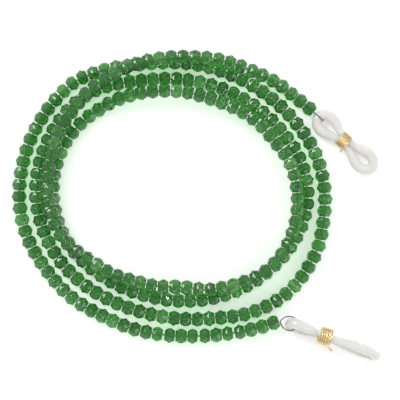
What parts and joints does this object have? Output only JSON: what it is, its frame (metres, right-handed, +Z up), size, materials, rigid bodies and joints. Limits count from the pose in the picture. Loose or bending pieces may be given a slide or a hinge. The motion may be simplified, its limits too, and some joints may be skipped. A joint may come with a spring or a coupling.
{
  "type": "eyeglass retainer strap",
  "caption": "Eyeglass retainer strap: a coiled strand of faceted green glass beads with a rubber figure-of-eight temple loop and coil spring at each end.",
  "frame": {"origin": "middle of the whole coiled layout's footprint, on the table it rests on", "axes": "+Z up from the table; +X along the layout's long way, towards the two rubber loops; +Y to the side of loop a"},
  "size_m": [0.0958, 0.0806, 0.0083],
  "materials": {
    "green_glass": "clear green faceted glass",
    "cord": "dark fine cord",
    "clear_rubber": "translucent white, glossy",
    "gold_spring_wire": "bright gold",
    "dark_wire": "dark silver"
  },
  "bodies": {
    "coil": {"cord_coil": "cord", "bead_run_01": "green_glass", "bead_run_02": "green_glass", "bead_run_03": "green_glass", "bead_run_04": "green_glass", "bead_run_05": "green_glass", "bead_run_06": "green_glass", "bead_run_07": "green_glass", "bead_run_08": "green_glass", "bead_run_09": "green_glass", "bead_run_10": "green_glass", "bead_run_11": "green_glass", "bead_run_12": "green_glass", "bead_run_13": "green_glass", "bead_run_14": "green_glass", "bead_run_15": "green_glass", "bead_run_16": "green_glass", "bead_run_17": "green_glass", "bead_run_18": "green_glass", "bead_run_19": "green_glass", "bead_run_20": "green_glass"},
    "tail_a_1": {"tail_a_beads_1": "green_glass", "tail_a_cord_1": "cord"},
    "tail_a_2": {"tail_a_beads_2": "green_glass", "tail_a_cord_2": "cord"},
    "tail_a_3": {"tail_a_beads_3": "green_glass", "tail_a_cord_3": "cord", "crimp_a": "dark_wire"},
    "end_bead_a": {"end_bead_a": "green_glass"},
    "eye_a": {"wire_eye_a": "dark_wire"},
    "loop_a": {"rubber_loop_a": "clear_rubber"},
    "spring_a": {"coil_spring_a": "gold_spring_wire"},
    "tail_b_1": {"tail_b_beads_1": "green_glass", "tail_b_cord_1": "cord"},
    "tail_b_2": {"tail_b_beads_2": "green_glass", "tail_b_cord_2": "cord"},
    "tail_b_3": {"tail_b_beads_3": "green_glass", "tail_b_cord_3": "cord", "crimp_b": "dark_wire"},
    "end_bead_b": {"end_bead_b": "green_glass"},
    "eye_b": {"wire_eye_b": "dark_wire"},
    "loop_b": {"rubber_loop_b": "clear_rubber"},
    "spring_b": {"coil_spring_b": "gold_spring_wire"}
  },
  "joints": [
    {"name": "tail_a_bend_1", "type": "hinge", "parent": "coil", "child": "tail_a_1", "pos_m": [0.01302, 0.03539, 0.0053], "axis": [0, 0, 1], "range_deg": [0, 12]},
    {"name": "tail_a_bend_2", "type": "hinge", "parent": "tail_a_1", "child": "tail_a_2", "pos_m": [0.01855, 0.03307, 0.0041], "axis": [0, 0, 1], "range_deg": [0, 12]},
    {"name": "tail_a_bend_3", "type": "hinge", "parent": "tail_a_2", "child": "tail_a_3", "pos_m": [0.02355, 0.02997, 0.00251], "axis": [0, 0, 1], "range_deg": [0, 12]},
    {"name": "end_bead_a_spin", "type": "hinge", "parent": "tail_a_3", "child": "end_bead_a", "pos_m": [0.02947, 0.02521, 0.00192], "axis": [0.7591, -0.6509, 0], "continuous": true},
    {"name": "eye_a_swing", "type": "hinge", "parent": "tail_a_3", "child": "eye_a", "pos_m": [0.03057, 0.02426, 0.00192], "axis": [0, 0, 1], "range_deg": [-4, 25]},
    {"name": "loop_a_lift", "type": "hinge", "parent": "eye_a", "child": "loop_a", "pos_m": [0.03191, 0.023, 0.00192], "axis": [-0.6909, -0.723, 0], "range_deg": [0, 75]},
    {"name": "spring_a_slide", "type": "slide", "parent": "loop_a", "child": "spring_a", "axis": [0.7227, -0.6906, -0.0262], "range_m": [-0.0005, 0.0012]},
    {"name": "tail_b_bend_1", "type": "hinge", "parent": "coil", "child": "tail_b_1", "pos_m": [-0.00845, -0.03365, 0.00192], "axis": [0, 0, -1], "range_deg": [0, 12]},
    {"name": "tail_b_bend_2", "type": "hinge", "parent": "tail_b_1", "child": "tail_b_2", "pos_m": [0.0007, -0.03399, 0.00196], "axis": [0, 0, -1], "range_deg": [0, 12]},
    {"name": "tail_b_bend_3", "type": "hinge", "parent": "tail_b_2", "child": "tail_b_3", "pos_m": [0.00981, -0.03313, 0.00243], "axis": [0, 0, -1], "range_deg": [0, 12]},
    {"name": "end_bead_b_spin", "type": "hinge", "parent": "tail_b_3", "child": "end_bead_b", "pos_m": [0.0201, -0.03046, 0.00332], "axis": [0.9318, 0.3542, 0.0793], "continuous": true},
    {"name": "eye_b_swing", "type": "hinge", "parent": "tail_b_3", "child": "eye_b", "pos_m": [0.02147, -0.02994, 0.00344], "axis": [0, 0, 1], "range_deg": [-3, 20]},
    {"name": "loop_b_swing", "type": "hinge", "parent": "eye_b", "child": "loop_b", "pos_m": [0.02439, -0.03066, 0.00354], "axis": [0, 0, 1], "range_deg": [-30, 30]},
    {"name": "spring_b_slide", "type": "slide", "parent": "loop_b", "child": "spring_b", "axis": [0.9371, -0.3485, -0.0209], "range_m": [-0.0005, 0.0012]}
  ],
  "couplings": [
    {"joint": "tail_a_bend_2", "follows": "tail_a_bend_1", "ratio": 1},
    {"joint": "tail_a_bend_3", "follows": "tail_a_bend_1", "ratio": 1},
    {"joint": "tail_b_bend_2", "follows": "tail_b_bend_1", "ratio": 1},
    {"joint": "tail_b_bend_3", "follows": "tail_b_bend_1", "ratio": 1}
  ]
}
